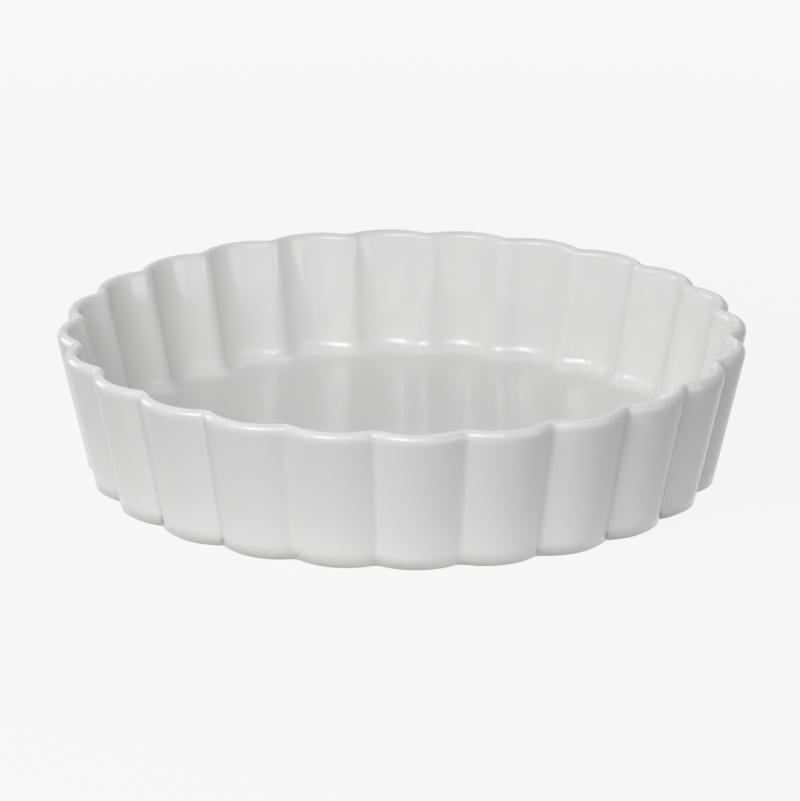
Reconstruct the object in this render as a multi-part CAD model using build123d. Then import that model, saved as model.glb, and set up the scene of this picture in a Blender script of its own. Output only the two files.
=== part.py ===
from build123d import *
import math
import os

os.makedirs("parts", exist_ok=True)

# A round fluted quiche dish: one fired porcelain body that carries two coats of glaze.
# Millimetres, +Z up. The dish stands on z = 0 and the origin lies under its middle.
# The sizes of the form, wall, floor and edges are those of the finished dish, glaze included.

# Outside form, measured across the crests of opposite flutes
rim_diameter = 280.0
foot_diameter = 256.5
dish_height = 59.0
flute_count = 24

# Flutes: depth from crest to sharp groove along a radius, and the radius that softens the groove
rim_flute_depth = 5.2
foot_flute_depth = 4.9
rim_groove_radius = 2.6
foot_groove_radius = 2.4

# Wall, inside floor and the soft edges between them
wall_thickness = 5.4
floor_height = 8.0
foot_edge_radius = 2.8
floor_corner_radius = 6.0

# Lip: its outer round is wider and longer than its inner one
lip_outer_width = 3.4
lip_outer_length = 4.4
lip_inner_radius = wall_thickness - lip_outer_width

# Underside: a round recess with sloping sides, which leaves a ring to stand on
recess_radius = 113.0
recess_depth = 2.2

# Glaze: its thickness, its depth over the body's flat lip, the height over which the body's outside
# leans in to that lip, and how far above the table the base glaze ends
glaze_thickness = 0.4
lip_glaze_depth = 1.6
lip_lean_height = 2.6
base_glaze_edge = 0.8

# Flats that stand for each quarter round
lip_flats = 2
corner_flats = 2
edge_flats = 1

flute_pitch = 360.0 / flute_count


def quarter_round(width, length, flats):
    """Corner points of the flats that touch a quarter of an ellipse from outside.

    Each point holds its distances from the two faces that the round joins. The first lies on
    the first face and the last on the second.
    """
    step = math.radians(90.0 / (flats + 1))
    reach = 1 / math.cos(step / 2)
    turns = [step * (place + 0.5) for place in range(flats + 1)]
    return [(width * (1 - reach * math.cos(turn)), length * (1 - reach * math.sin(turn))) for turn in turns]


# Where the straight wall begins above the rounded foot, and where it ends below the rounded lip
wall_foot = quarter_round(foot_edge_radius, foot_edge_radius, edge_flats)[0][1]
wall_top = dish_height - quarter_round(lip_outer_width, lip_outer_length, lip_flats)[0][1]


def evenly(at_foot, at_rim, height):
    """A size that changes evenly up the wall."""
    share = (height - wall_foot) / (wall_top - wall_foot)
    return at_foot + (at_rim - at_foot) * share


def flute(height, inset):
    """One crest arc and the groove arc after it, tangent to each other, at a height above the table.

    The inset moves both into the wall at right angles, so that a crest tightens and a groove
    opens, as they do on the inside of a real wall.
    """
    crest_reach = evenly(foot_diameter, rim_diameter, height) / 2
    groove_reach = crest_reach - evenly(foot_flute_depth, rim_flute_depth, height)
    groove_radius = evenly(foot_groove_radius, rim_groove_radius, height)
    half_pitch = math.radians(flute_pitch / 2)

    # The crest arc runs through the crest and the sharp grooves on both sides of it
    half_chord = groove_reach * math.sin(half_pitch)
    rise = crest_reach - groove_reach * math.cos(half_pitch)
    crest_radius = (half_chord**2 + rise**2) / (2 * rise)
    crest_centre = crest_reach - crest_radius

    # The groove arc has its centre outside the wall, on the ray between two crests
    apart = crest_radius + groove_radius
    foot_of_ray = crest_centre * math.cos(half_pitch)
    groove_centre = foot_of_ray + math.sqrt(foot_of_ray**2 - crest_centre**2 + apart**2)
    to_groove = Vector(groove_centre, 0).rotate(Axis.Z, flute_pitch / 2) - Vector(crest_centre, 0)

    joint = Vector(crest_centre, 0) + to_groove.normalized() * (crest_radius - inset)
    last_joint = Vector(joint.X, -joint.Y)
    next_joint = last_joint.rotate(Axis.Z, flute_pitch)
    groove_bottom = Vector(groove_centre - groove_radius - inset, 0).rotate(Axis.Z, flute_pitch / 2)
    crest_arc = ThreePointArc(last_joint, (crest_reach - inset, 0), joint)
    groove_arc = ThreePointArc(joint, groove_bottom, next_joint)
    return crest_arc, groove_arc


def outline(height, inset):
    """The whole fluted outline at a height, as a level face."""
    arcs = flute(height, inset)
    edges = [arc.rotate(Axis.Z, place * flute_pitch) for place in range(flute_count) for arc in arcs]
    return Pos(0, 0, height) * Face(Wire(edges))


def bowl(outside, inside):
    """A fluted bowl between two runs of stations, each a height and an inset, listed upwards."""
    cup = loft([outline(height, inset) for height, inset in outside], ruled=True)
    hollow = loft([outline(height, inset) for height, inset in inside], ruled=True)
    return cup - hollow


def finished_bowl():
    """The finished surface, from the line where the outer glaze ends up to the round lip."""
    outer_lip = quarter_round(lip_outer_width, lip_outer_length, lip_flats)
    inner_lip = quarter_round(lip_inner_radius, lip_inner_radius, lip_flats)
    corner = quarter_round(floor_corner_radius, floor_corner_radius, corner_flats)
    outside = [(wall_foot, 0)] + [(dish_height - below, inset) for inset, below in outer_lip]
    inside = [(floor_height + above, wall_thickness + inset) for inset, above in reversed(corner)]
    inside += [(dish_height - below, wall_thickness - inset) for inset, below in inner_lip]
    return bowl(outside, inside)


def body_bowl():
    """The fired body before its base is hollowed: fluted wall, floor and a flat lip."""
    # The outside leans in below the flat lip, so that its corner stays under the finished round
    body_top = dish_height - lip_glaze_depth
    rise = 1 - lip_glaze_depth / lip_outer_length
    outer_inset = glaze_thickness + lip_outer_width * (1 - math.sqrt(1 - rise**2))
    rise = 1 - lip_glaze_depth / lip_inner_radius
    inner_inset = glaze_thickness + lip_inner_radius * (1 - math.sqrt(1 - rise**2))

    foot = quarter_round(foot_edge_radius, foot_edge_radius, edge_flats)
    outside = [(above, glaze_thickness + inset) for inset, above in reversed(foot)]
    outside += [(body_top - lip_lean_height, glaze_thickness), (body_top, outer_inset)]
    corner_radius = floor_corner_radius + glaze_thickness
    corner = quarter_round(corner_radius, corner_radius, corner_flats)
    body_floor = floor_height - glaze_thickness
    body_wall = wall_thickness - glaze_thickness
    inside = [(body_floor + above, body_wall + inset) for inset, above in reversed(corner)]
    inside += [(body_top, wall_thickness - inner_inset)]
    return bowl(outside, inside)


def turned(*corners):
    """A round solid from the corners of its half section, each a radius and a height."""
    return revolve(Plane.XZ * make_face(Polyline(*corners, close=True)), Axis.Z)


def base_recess():
    """The recess in the body's underside, with its side at 45 degrees and room for its own coat."""
    depth = recess_depth + glaze_thickness
    return turned((0, 0), (recess_radius, 0), (recess_radius - depth, depth), (0, depth))


def base_glaze():
    """The coat inside the recess: a disc whose edge runs down the sloping side."""
    depth = recess_depth + glaze_thickness
    slanted = glaze_thickness * math.sqrt(2)
    return turned(
        (0, depth),
        (recess_radius - depth, depth),
        (recess_radius - base_glaze_edge, base_glaze_edge),
        (recess_radius - base_glaze_edge - slanted, base_glaze_edge),
        (recess_radius - recess_depth - slanted, recess_depth),
        (0, recess_depth),
    )


blank = body_bowl()
nodes = {
    "porcelain_body": blank - base_recess(),
    "glaze_coat": finished_bowl() - blank,
    "base_glaze": base_glaze(),
}

for name, shape in nodes.items():
    shape.label = name
    export_step(shape, f"parts/{name}.step")
    print(name, "solids", len(shape.solids()), "valid", shape.is_valid, "volume", round(shape.volume))
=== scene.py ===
import math

import bmesh
import bpy
from mathutils import Matrix, Vector


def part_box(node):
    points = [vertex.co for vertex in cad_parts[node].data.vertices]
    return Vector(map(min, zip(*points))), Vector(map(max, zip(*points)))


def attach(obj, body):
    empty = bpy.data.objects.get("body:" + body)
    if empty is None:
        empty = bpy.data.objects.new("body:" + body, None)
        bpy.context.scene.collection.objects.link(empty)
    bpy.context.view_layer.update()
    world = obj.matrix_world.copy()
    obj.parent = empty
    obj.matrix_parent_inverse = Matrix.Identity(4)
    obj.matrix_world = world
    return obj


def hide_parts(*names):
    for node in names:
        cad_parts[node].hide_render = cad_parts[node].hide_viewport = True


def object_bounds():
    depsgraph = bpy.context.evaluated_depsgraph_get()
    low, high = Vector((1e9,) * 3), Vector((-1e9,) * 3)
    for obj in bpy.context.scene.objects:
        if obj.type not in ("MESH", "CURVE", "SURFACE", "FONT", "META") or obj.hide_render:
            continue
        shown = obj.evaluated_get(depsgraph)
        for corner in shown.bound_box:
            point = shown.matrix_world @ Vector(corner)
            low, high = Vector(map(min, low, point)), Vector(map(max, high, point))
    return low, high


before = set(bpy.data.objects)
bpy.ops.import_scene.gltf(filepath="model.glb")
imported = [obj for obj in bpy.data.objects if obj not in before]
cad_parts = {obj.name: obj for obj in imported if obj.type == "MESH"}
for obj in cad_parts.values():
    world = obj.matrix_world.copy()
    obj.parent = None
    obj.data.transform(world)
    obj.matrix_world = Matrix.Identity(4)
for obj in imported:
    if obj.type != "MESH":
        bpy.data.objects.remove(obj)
cadLow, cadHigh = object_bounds()
print("frame loaded")

mm = 0.001
scene = bpy.context.scene

# The fluted form that the wall follows, read from the frame where the frame has it
coatLow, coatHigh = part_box("glaze_coat")
fluteForm = {
    "count": 24,
    "rimRadius": coatHigh.x,          # over the crests, where the lip begins to round
    "footRadius": 128.25 * mm,        # over the crests, where the outer glaze ends
    "rimDepth": 5.2 * mm,             # crest to sharp groove, along a radius
    "footDepth": 4.9 * mm,
    "rimGroove": 2.6 * mm,            # radius that softens the groove
    "footGroove": 2.4 * mm,
    "rimHeight": coatHigh.z - 3.22 * mm,    # where the wall of the solids ends below its lip
    "footHeight": coatLow.z,
    "crestColumns": 20,               # mesh columns over a crest and round a groove
    "grooveColumns": 24,
}

# Wall, lip and corners, shared by the coat and the fired body under it
wallForm = {
    "thickness": 5.4 * mm,
    "floor": 8.0 * mm,                # inside floor above the table
    "corner": 6.0 * mm,               # round between the inside wall and the floor
    "footRound": 2.8 * mm,
    "lipWidth": 3.4 * mm,             # outer round of the lip, longer than it is wide
    "lipLength": 4.4 * mm,
    "lipInner": 2.0 * mm,
    "lipGlaze": 1.6 * mm,             # glaze over the body's flat lip
    "lipLean": 2.6 * mm,              # height over which the body leans in to that lip
    "glaze": 0.4 * mm,
    "roundFloor": 70.0 * mm,          # the floor is plain and round within this radius
}


# A point of the fluted form: turn is the spun point's azimuth, and inset goes into the wall at right
# angles to it
def flutePoint(turn, inset, height):
    form = fluteForm
    climb = (height - form["footHeight"]) / (form["rimHeight"] - form["footHeight"])
    crestReach = form["footRadius"] + (form["rimRadius"] - form["footRadius"]) * climb
    grooveReach = crestReach - (form["footDepth"] + (form["rimDepth"] - form["footDepth"]) * climb)
    grooveRadius = form["footGroove"] + (form["rimGroove"] - form["footGroove"]) * climb
    pitch = 2 * math.pi / form["count"]
    halfPitch = pitch / 2

    # The crest arc runs through the crest and the sharp grooves on both sides of it
    halfChord = grooveReach * math.sin(halfPitch)
    rise = crestReach - grooveReach * math.cos(halfPitch)
    crestRadius = (halfChord ** 2 + rise ** 2) / (2 * rise)
    crestCentre = crestReach - crestRadius

    # The groove arc touches it and has its centre outside the wall, half a pitch round
    footOfRay = crestCentre * math.cos(halfPitch)
    apart = crestRadius + grooveRadius
    grooveCentre = footOfRay + math.sqrt(footOfRay ** 2 - crestCentre ** 2 + apart ** 2)
    grooveX = grooveCentre * math.cos(halfPitch)
    grooveY = grooveCentre * math.sin(halfPitch)
    crestTurn = math.atan2(grooveY, grooveX - crestCentre)

    place = round(turn / pitch)
    share = 2 * (turn / pitch - place)
    side = math.copysign(1, share)
    crestShare = form["crestColumns"] / (form["crestColumns"] + form["grooveColumns"])
    if abs(share) <= crestShare:
        angle = abs(share) / crestShare * crestTurn
        x = crestCentre + (crestRadius - inset) * math.cos(angle)
        y = (crestRadius - inset) * math.sin(angle)
    else:
        back = (1 - abs(share)) / (1 - crestShare) * (crestTurn - halfPitch)
        angle = math.pi + halfPitch + back
        x = grooveX + (grooveRadius + inset) * math.cos(angle)
        y = grooveY + (grooveRadius + inset) * math.sin(angle)
    y *= side
    across = math.cos(place * pitch)
    along = math.sin(place * pitch)
    return Vector((x * across - y * along, x * along + y * across, height))


# Half section: starts as one vertex and is drawn onwards by extruding or spinning its last one
def startProfile(inset, height):
    section = bmesh.new()
    last = section.verts.new((fluteForm["rimRadius"] - inset, 0, height))
    return section, last


def drawTo(section, last, inset, height, parts):
    goal = Vector((fluteForm["rimRadius"] - inset, 0, height))
    step = (goal - last.co) / parts
    for part in range(parts):
        last = bmesh.ops.extrude_vert_indiv(section, verts=[last])["verts"][0]
        last.co += step
    return last


# Stretch makes a round longer in height than it is wide
def drawRound(section, last, centreInset, centreHeight, degrees, parts, stretch=1.0):
    centre = Vector((fluteForm["rimRadius"] - centreInset, 0, centreHeight))
    earlier = set(section.verts)
    ends = bmesh.ops.spin(section, geom=[last], cent=centre, axis=(0, 1, 0), dvec=(0, 0, 0),
                          angle=math.radians(degrees), steps=parts, use_merge=False, use_duplicate=False)
    for vert in section.verts:
        if vert not in earlier:
            vert.co.z = centreHeight + (vert.co.z - centreHeight) * stretch
    return [end for end in ends["geom_last"] if isinstance(end, bmesh.types.BMVert)][0]


# Where the body's flat lip begins and ends, so that its corners stay under the finished rounds
def bodyLip():
    wall = wallForm
    outer = wall["lipWidth"] * (1 - math.sqrt(1 - (1 - wall["lipGlaze"] / wall["lipLength"]) ** 2))
    inner = wall["lipInner"] * (1 - math.sqrt(1 - (1 - wall["lipGlaze"] / wall["lipInner"]) ** 2))
    return wall["glaze"] + outer, wall["thickness"] - wall["glaze"] - inner, cadHigh.z - wall["lipGlaze"]


def spinRound(section, angle, steps, copies=False):
    geometry = section.verts[:] + section.edges[:] + section.faces[:]
    closes = angle == 2 * math.pi and not copies
    bmesh.ops.spin(section, geom=geometry, cent=(0, 0, 0), axis=(0, 0, 1), dvec=(0, 0, 0),
                   angle=angle, steps=steps, use_merge=closes, use_duplicate=copies)


# A zone's top height that lies over the whole dish, in metres
overTheDish = 1.0


# Spins the half section over one flute, presses that plain wedge onto the fluted form and repeats it
# round the dish. Each zone has its top height, and an edge inset past which the flute fades out
# towards the zone's round radius.
def makeFluted(section, zones):
    pitch = 2 * math.pi / fluteForm["count"]
    toGroove = Matrix.Rotation(-pitch / 2, 3, "Z")
    bmesh.ops.rotate(section, verts=section.verts[:], cent=(0, 0, 0), matrix=toGroove)
    spinRound(section, pitch, fluteForm["crestColumns"] + fluteForm["grooveColumns"])
    rimRadius = fluteForm["rimRadius"]
    for vert in section.verts:
        height = vert.co.z
        spunRadius = math.hypot(vert.co.x, vert.co.y)
        turn = math.atan2(vert.co.y, vert.co.x)
        edgeInset, roundRadius = next(zone[1:] for zone in zones if height < zone[0])
        edgeRadius = rimRadius - edgeInset
        if spunRadius <= roundRadius:
            continue
        if spunRadius >= edgeRadius:
            vert.co = flutePoint(turn, rimRadius - spunRadius, height)
        else:
            share = (spunRadius - roundRadius) / (edgeRadius - roundRadius)
            plain = Vector((roundRadius * math.cos(turn), roundRadius * math.sin(turn), height))
            vert.co = plain.lerp(flutePoint(turn, edgeInset, height), share)
    spinRound(section, 2 * math.pi - pitch, fluteForm["count"] - 1, copies=True)


# Points closer than this are one point
weldDistance = 0.001 * mm


def finishPiece(section, name, node, material):
    bmesh.ops.remove_doubles(section, verts=section.verts[:], dist=weldDistance)
    loose = [edge for edge in section.edges if not edge.link_faces]
    bmesh.ops.delete(section, geom=loose, context="EDGES")
    bmesh.ops.recalc_face_normals(section, faces=section.faces[:])
    for face in section.faces:
        face.smooth = True
    mesh = bpy.data.meshes.new(name)
    section.to_mesh(mesh)
    section.free()
    piece = bpy.data.objects.new(name, mesh)
    scene.collection.objects.link(piece)
    mesh.materials.append(material)
    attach(piece, "root")
    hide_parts(node)
    print(name, "made,", len(mesh.polygons), "faces")


# Materials

def toLinear(hexColour):
    values = [int(hexColour[place:place + 2], 16) / 255 for place in (0, 2, 4)]
    return [v / 12.92 if v <= 0.04045 else ((v + 0.055) / 1.055) ** 2.4 for v in values] + [1.0]


def addNode(tree, kind, settings=None, links=None, **values):
    node = tree.nodes.new(kind)
    for key, value in (settings or {}).items():
        setattr(node, key, value)
    for key, value in values.items():
        node.inputs[key.replace("_", " ")].default_value = value
    for key, source in (links or {}).items():
        tree.links.new(source, node.inputs[key])
    return node


def newMaterial(name):
    material = bpy.data.materials.new(name)
    material.use_nodes = True
    material.node_tree.nodes.clear()
    return material, material.node_tree


def addNoise(tree, size, detail):
    place = addNode(tree, "ShaderNodeTexCoord")
    noise = addNode(tree, "ShaderNodeTexNoise", links={"Vector": place.outputs["Object"]},
                    Scale=1 / size, Detail=detail)
    return noise.outputs["Fac"]


# What both porcelains share: two tones and a shallow relief, each from a noise of real size
def addPorcelain(tree, look, toneNoise, reliefNoise):
    tone = addNode(tree, "ShaderNodeMix", {"data_type": "RGBA"}, {"Factor": toneNoise})
    tone.inputs["A"].default_value = toLinear(look["light"])
    tone.inputs["B"].default_value = toLinear(look["dark"])
    relief = addNode(tree, "ShaderNodeBump", links={"Height": reliefNoise},
                     Strength=look["reliefStrength"], Distance=look["reliefDepth"])
    shader = addNode(tree, "ShaderNodeBsdfPrincipled",
                     links={"Base Color": tone.outputs["Result"], "Normal": relief.outputs["Normal"]},
                     Roughness=look["roughness"], IOR=look["refraction"])
    addNode(tree, "ShaderNodeOutputMaterial", links={"Surface": shader.outputs["BSDF"]})


# Porcelain with a clear glaze, fired glossy. The glaze flows out nearly level, so the gloss is
# high and steady, with a slow waviness and the faintest drift of tone.
glazedLook = {
    "light": "ECECEB",
    "dark": "E6E6E6",
    "roughness": 0.06,
    "refraction": 1.5,
    "driftSize": 45.0 * mm,
    "driftDetail": 2.0,
    "waveSize": 14.0 * mm,
    "waveDetail": 1.0,
    "reliefStrength": 1.0,
    "reliefDepth": 0.02 * mm,
}


def glazedPorcelain():
    look = glazedLook
    material, tree = newMaterial("glazed porcelain")
    drift = addNoise(tree, look["driftSize"], look["driftDetail"])
    wave = addNoise(tree, look["waveSize"], look["waveDetail"])
    addPorcelain(tree, look, drift, wave)
    return material


# Bare biscuit porcelain, ground smooth on the standing ring: matt, fine in grain and a little
# warmer than the glaze.
bisqueLook = {
    "light": "E6E4DF",
    "dark": "DAD7D0",
    "roughness": 0.6,
    "refraction": 1.5,
    "grainSize": 0.9 * mm,
    "grainDetail": 3.0,
    "reliefStrength": 0.6,
    "reliefDepth": 0.03 * mm,
}


def bisquePorcelain():
    look = bisqueLook
    material, tree = newMaterial("bisque porcelain")
    grain = addNoise(tree, look["grainSize"], look["grainDetail"])
    addPorcelain(tree, look, grain, grain)
    return material


glazedMaterial = glazedPorcelain()
bisqueMaterial = bisquePorcelain()
print("materials made")

# The glaze coat: outside wall, lip, inside wall and floor, and its own underside against the body
glazeCoat = {
    "wallRows": 10,
    "lipRows": 10,                    # on each half of the lip
    "cornerRows": 8,
    "floorRows": 6,
    "hiddenRows": 4,
}


def makeGlazeCoat():
    wall, size = wallForm, glazeCoat
    lipStart, lipEnd, lipTop = bodyLip()
    glaze = wall["glaze"]
    centre = fluteForm["rimRadius"]
    cornerInset = wall["thickness"] + wall["corner"]
    cornerHeight = wall["floor"] + wall["corner"]
    section, last = startProfile(0, fluteForm["footHeight"])
    last = drawTo(section, last, 0, cadHigh.z - wall["lipLength"], size["wallRows"])
    last = drawRound(section, last, wall["lipWidth"], cadHigh.z - wall["lipLength"], -90, size["lipRows"],
                     wall["lipLength"] / wall["lipWidth"])
    last = drawRound(section, last, wall["lipWidth"], cadHigh.z - wall["lipInner"], -90, size["lipRows"])
    last = drawTo(section, last, wall["thickness"], cornerHeight, size["wallRows"])
    last = drawRound(section, last, cornerInset, cornerHeight, 90, size["cornerRows"])
    last = drawTo(section, last, centre - wall["roundFloor"], wall["floor"], size["floorRows"])
    last = drawTo(section, last, centre, wall["floor"], size["floorRows"])
    last = drawTo(section, last, centre, wall["floor"] - glaze, 1)
    last = drawTo(section, last, centre - wall["roundFloor"], wall["floor"] - glaze, 1)
    last = drawTo(section, last, cornerInset, wall["floor"] - glaze, 1)
    last = drawRound(section, last, cornerInset, cornerHeight, -90, size["hiddenRows"])
    last = drawTo(section, last, lipEnd, lipTop, size["hiddenRows"])
    last = drawTo(section, last, lipStart, lipTop, 1)
    last = drawTo(section, last, glaze, lipTop - wall["lipLean"], 1)
    last = drawTo(section, last, glaze, fluteForm["footHeight"], size["hiddenRows"])
    last = drawTo(section, last, 0, fluteForm["footHeight"], 1)
    makeFluted(section, [(overTheDish, cornerInset, wall["roundFloor"])])
    finishPiece(section, "glazeCoat", "glaze_coat", glazedMaterial)


makeGlazeCoat()

# The fired body under the glaze, bare on its foot edge and standing ring
firedBody = {
    "recessRadius": 113.0 * mm,
    "recessDepth": 2.6 * mm,          # to the body, before the base glaze
    "recessRows": 3,
    "slopeRows": 2,
    "ringRows": 4,
    "footRows": 6,
    "wallRows": 6,
    "cornerRows": 4,
    "floorRows": 2,
}


def makeFiredBody():
    wall, size = wallForm, firedBody
    glaze = wall["glaze"]
    centre = fluteForm["rimRadius"]
    lipStart, lipEnd, lipTop = bodyLip()
    footInset = glaze + wall["footRound"]
    recess = size["recessRadius"]
    depth = size["recessDepth"]
    cornerInset = wall["thickness"] + wall["corner"]
    cornerHeight = wall["floor"] + wall["corner"]
    section, last = startProfile(centre, depth)
    last = drawTo(section, last, centre - recess + depth, depth, size["recessRows"])
    last = drawTo(section, last, centre - recess, 0, size["slopeRows"])
    last = drawTo(section, last, footInset, 0, size["ringRows"])
    last = drawRound(section, last, footInset, wall["footRound"], -90, size["footRows"])
    last = drawTo(section, last, glaze, lipTop - wall["lipLean"], size["wallRows"])
    last = drawTo(section, last, lipStart, lipTop, 1)
    last = drawTo(section, last, lipEnd, lipTop, 1)
    last = drawTo(section, last, wall["thickness"] - glaze, cornerHeight, size["wallRows"])
    last = drawRound(section, last, cornerInset, cornerHeight, 90, size["cornerRows"])
    last = drawTo(section, last, centre - wall["roundFloor"], wall["floor"] - glaze, size["floorRows"])
    last = drawTo(section, last, centre, wall["floor"] - glaze, size["floorRows"])
    foot = (depth + glaze, footInset, recess)
    inside = (overTheDish, cornerInset, wall["roundFloor"])
    makeFluted(section, [foot, inside])
    finishPiece(section, "firedBody", "porcelain_body", bisqueMaterial)


makeFiredBody()

# The coat inside the recess of the base
baseGlaze = {
    "edgeHeight": 0.8 * mm,           # the coat ends this far above the table
    "columns": 256,
    "flatRows": 4,
    "slopeRows": 2,
}


def makeBaseGlaze():
    size = baseGlaze
    centre = fluteForm["rimRadius"]
    side = centre - firedBody["recessRadius"]
    ceiling = firedBody["recessDepth"]
    glaze = wallForm["glaze"]
    slanted = glaze * math.sqrt(2)
    edge = size["edgeHeight"]
    section, last = startProfile(centre, ceiling)
    last = drawTo(section, last, side + ceiling, ceiling, size["flatRows"])
    last = drawTo(section, last, side + edge, edge, size["slopeRows"])
    last = drawTo(section, last, side + edge + slanted, edge, 1)
    last = drawTo(section, last, side + ceiling - glaze + slanted, ceiling - glaze, size["slopeRows"])
    last = drawTo(section, last, centre, ceiling - glaze, size["flatRows"])
    spinRound(section, 2 * math.pi, size["columns"])
    finishPiece(section, "baseGlaze", "base_glaze", glazedMaterial)


makeBaseGlaze()

# Floor and backdrop: even and pale to the camera and in reflections. What it throws back at the dish
# comes from its own grey, bright beside the foot and dark farther out.
stageLook = {
    "pale": "F8F8F8",
    "side": 30.0,
    "keepNear": 0.95,                 # share of the even colour near the dish, where its shadow shows
    "near": 0.25,                     # distances from the dish's middle, in metres
    "far": 0.75,
    "besideGrey": 0.80,
    "beyondGrey": 0.10,
    "besideReach": 0.15,
    "beyondReach": 0.28,
}
worldLight = {"fill": 0.07}


def fadeOut(tree, reach, start, end, first, last):
    fade = addNode(tree, "ShaderNodeMapRange", links={"Value": reach})
    fade.inputs["From Min"].default_value = start
    fade.inputs["From Max"].default_value = end
    fade.inputs["To Min"].default_value = first
    fade.inputs["To Max"].default_value = last
    return fade.outputs["Result"]


# One for camera, glossy and transmission rays, and nought for the others
def seenRays(tree):
    path = addNode(tree, "ShaderNodeLightPath")
    seen = addNode(tree, "ShaderNodeMath", {"operation": "MAXIMUM"},
                   {0: path.outputs["Is Camera Ray"], 1: path.outputs["Is Glossy Ray"]})
    seenToo = addNode(tree, "ShaderNodeMath", {"operation": "MAXIMUM"},
                      {0: seen.outputs[0], 1: path.outputs["Is Transmission Ray"]})
    return seenToo.outputs[0]


def makeFloor():
    look = stageLook
    pale = toLinear(look["pale"])
    material, tree = newMaterial("pale floor")
    place = addNode(tree, "ShaderNodeTexCoord")
    length = addNode(tree, "ShaderNodeVectorMath", {"operation": "LENGTH"},
                     {"Vector": place.outputs["Object"]})
    reach = length.outputs["Value"]
    keep = fadeOut(tree, reach, look["near"], look["far"], look["keepNear"], 1.0)
    grey = fadeOut(tree, reach, look["besideReach"], look["beyondReach"],
                   look["besideGrey"], look["beyondGrey"])
    seen = seenRays(tree)
    amount = addNode(tree, "ShaderNodeMath", {"operation": "MULTIPLY"}, {0: seen, 1: keep})
    ground = addNode(tree, "ShaderNodeMix", {"data_type": "RGBA"}, {"Factor": seen, "A": grey}, B=pale)
    lit = addNode(tree, "ShaderNodeBsdfDiffuse", links={"Color": ground.outputs["Result"]})
    even = addNode(tree, "ShaderNodeEmission", Color=pale, Strength=1.0)
    mix = addNode(tree, "ShaderNodeMixShader",
                  links={0: amount.outputs[0], 1: lit.outputs[0], 2: even.outputs[0]})
    addNode(tree, "ShaderNodeOutputMaterial", links={"Surface": mix.outputs[0]})
    section = bmesh.new()
    bmesh.ops.create_grid(section, x_segments=4, y_segments=4, size=look["side"] / 2)
    mesh = bpy.data.meshes.new("paleFloor")
    section.to_mesh(mesh)
    section.free()
    floor = bpy.data.objects.new("paleFloor", mesh)
    scene.collection.objects.link(floor)
    mesh.materials.append(material)


def makeWorld():
    world = bpy.data.worlds.new("pale studio")
    scene.world = world
    world.use_nodes = True
    tree = world.node_tree
    tree.nodes.clear()
    fill = addNode(tree, "ShaderNodeBackground", Color=toLinear("FFFFFF"), Strength=worldLight["fill"])
    pale = addNode(tree, "ShaderNodeBackground", Color=toLinear(stageLook["pale"]), Strength=1.0)
    mix = addNode(tree, "ShaderNodeMixShader",
                  links={0: seenRays(tree), 1: fill.outputs[0], 2: pale.outputs[0]})
    addNode(tree, "ShaderNodeOutputWorld", links={"Surface": mix.outputs[0]})


makeFloor()
makeWorld()


# The way from the dish to an azimuth and elevation in degrees: azimuth 0 is the camera's side and
# 90 its right
def towards(azimuth, elevation):
    turn = math.radians(azimuth)
    climb = math.radians(elevation)
    level = math.cos(climb)
    return Vector((math.sin(turn) * level, -math.cos(turn) * level, math.sin(climb)))


# Square softboxes around the dish
softboxShape = {"side": 0.6, "distance": 1.3}
softboxes = {
    "frontLeft": {"azimuth": -30, "elevation": 35, "watts": 6.6},
    "front": {"azimuth": 0, "elevation": 35, "watts": 2.9},
    "left": {"azimuth": -60, "elevation": 35, "watts": 2.2},
    "backLeft": {"azimuth": -120, "elevation": 35, "watts": 0.9},
    "lowLeft": {"azimuth": -120, "elevation": 12, "watts": 2.6},
    "highLeft": {"azimuth": -135, "elevation": 62, "watts": 0.5},
    "back": {"azimuth": 180, "elevation": 35, "watts": 0.95},
    "highRight": {"azimuth": 115, "elevation": 62, "watts": 1.0},
    "lowRight": {"azimuth": 60, "elevation": 12, "watts": 2.2},
    "frontRight": {"azimuth": 30, "elevation": 12, "watts": 0.6},
}


def makeSoftbox(name, box):
    light = bpy.data.lights.new(name, "AREA")
    light.shape = "RECTANGLE"
    light.size = softboxShape["side"]
    light.size_y = softboxShape["side"]
    light.energy = box["watts"]
    lamp = bpy.data.objects.new(name, light)
    scene.collection.objects.link(lamp)
    away = towards(box["azimuth"], box["elevation"])
    lamp.location = away * softboxShape["distance"]
    lamp.rotation_euler = away.to_track_quat("Z", "Y").to_euler()
    lamp.visible_camera = False


for boxName, boxValues in softboxes.items():
    makeSoftbox(boxName, boxValues)
print("stage and lights made")

# Camera, fitted to the photograph's outline of the rim and foot
cameraView = {
    "azimuth": -2.92,                 # this far left of a crest
    "elevation": 18.45,
    "roll": 0.225,
    "distance": 1868.5 * mm,
    "lens": 206.3,
    "sensor": 36.0,
    "aimRight": -1.0 * mm,
    "aimUp": -2.60 * mm,
}


def makeCamera():
    view = cameraView
    target = Vector((0, 0, cadHigh.z / 2))
    away = towards(view["azimuth"], view["elevation"])
    data = bpy.data.cameras.new("camera")
    data.sensor_fit = "HORIZONTAL"
    data.sensor_width = view["sensor"]
    data.lens = view["lens"]
    camera = bpy.data.objects.new("camera", data)
    scene.collection.objects.link(camera)
    camera.location = target + away * view["distance"]
    upright = away.to_track_quat("Z", "Y")
    right = upright @ Vector((1, 0, 0))
    up = upright @ Vector((0, 1, 0))
    aim = target + right * view["aimRight"] + up * view["aimUp"]
    facing = (camera.location - aim).to_track_quat("Z", "Y").to_matrix()
    roll = Matrix.Rotation(math.radians(view["roll"]), 3, "Z")
    camera.rotation_euler = (facing @ roll).to_euler()
    scene.camera = camera


makeCamera()
scene.view_settings.view_transform = "Standard"
print("camera made")
